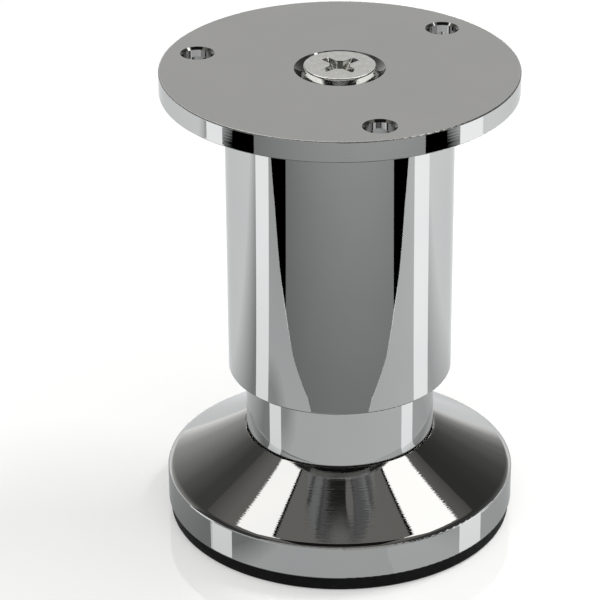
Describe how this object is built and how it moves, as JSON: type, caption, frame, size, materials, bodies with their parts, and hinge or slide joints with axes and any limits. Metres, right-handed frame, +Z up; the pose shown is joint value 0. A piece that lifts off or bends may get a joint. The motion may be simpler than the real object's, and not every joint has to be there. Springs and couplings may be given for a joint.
{
  "type": "adjustable cabinet leg",
  "caption": "Chromed round cabinet leg with a screw-on top plate, a tube, and a neck that screws in and out to set the height on a swivelling conical foot with a black pad.",
  "frame": {"origin": "on the floor, at the middle of the pad under the foot", "axes": "+Z up along the leg's axis, towards the mounting plate"},
  "size_m": [0.0786, 0.0786, 0.1086],
  "materials": {
    "chrome": "polished chrome plate",
    "plated_steel": "bright zinc plate",
    "natural_nylon": "moulded, unpainted",
    "black_nylon": "moulded, satin",
    "black_pad": "moulded, fine matt grain"
  },
  "bodies": {
    "foot": {"foot": "chrome", "glide_pad": "black_pad"},
    "washer": {"swivel_washer": "natural_nylon"},
    "neck": {"neck_sleeve": "chrome", "neck_base_plug": "natural_nylon", "neck_top_ring": "natural_nylon", "spindle_bolt": "plated_steel", "spindle_lock_nut": "plated_steel", "bolt_washer": "plated_steel"},
    "tube": {"mounting_plate": "chrome", "centre_screw": "plated_steel", "outer_tube": "chrome", "tube_insert": "natural_nylon", "plate_nut": "plated_steel", "spindle_nut": "plated_steel", "guide_ring": "black_nylon"}
  },
  "joints": [
    {"name": "foot_swivel", "type": "hinge", "parent": "foot", "child": "washer", "pos_m": [0, 0, 0.0196], "axis": [0, 0, 1], "continuous": true},
    {"name": "neck_turn", "type": "hinge", "parent": "washer", "child": "neck", "pos_m": [0, 0, 0.0204], "axis": [0, 0, -1], "range_deg": [-3550, 2635]},
    {"name": "height_slide", "type": "slide", "parent": "washer", "child": "tube", "axis": [0, 0, 1], "range_m": [-0.0148, 0.011]}
  ],
  "couplings": [
    {"joint": "height_slide", "follows": "neck_turn", "m_per_rad": 0.00023873}
  ]
}
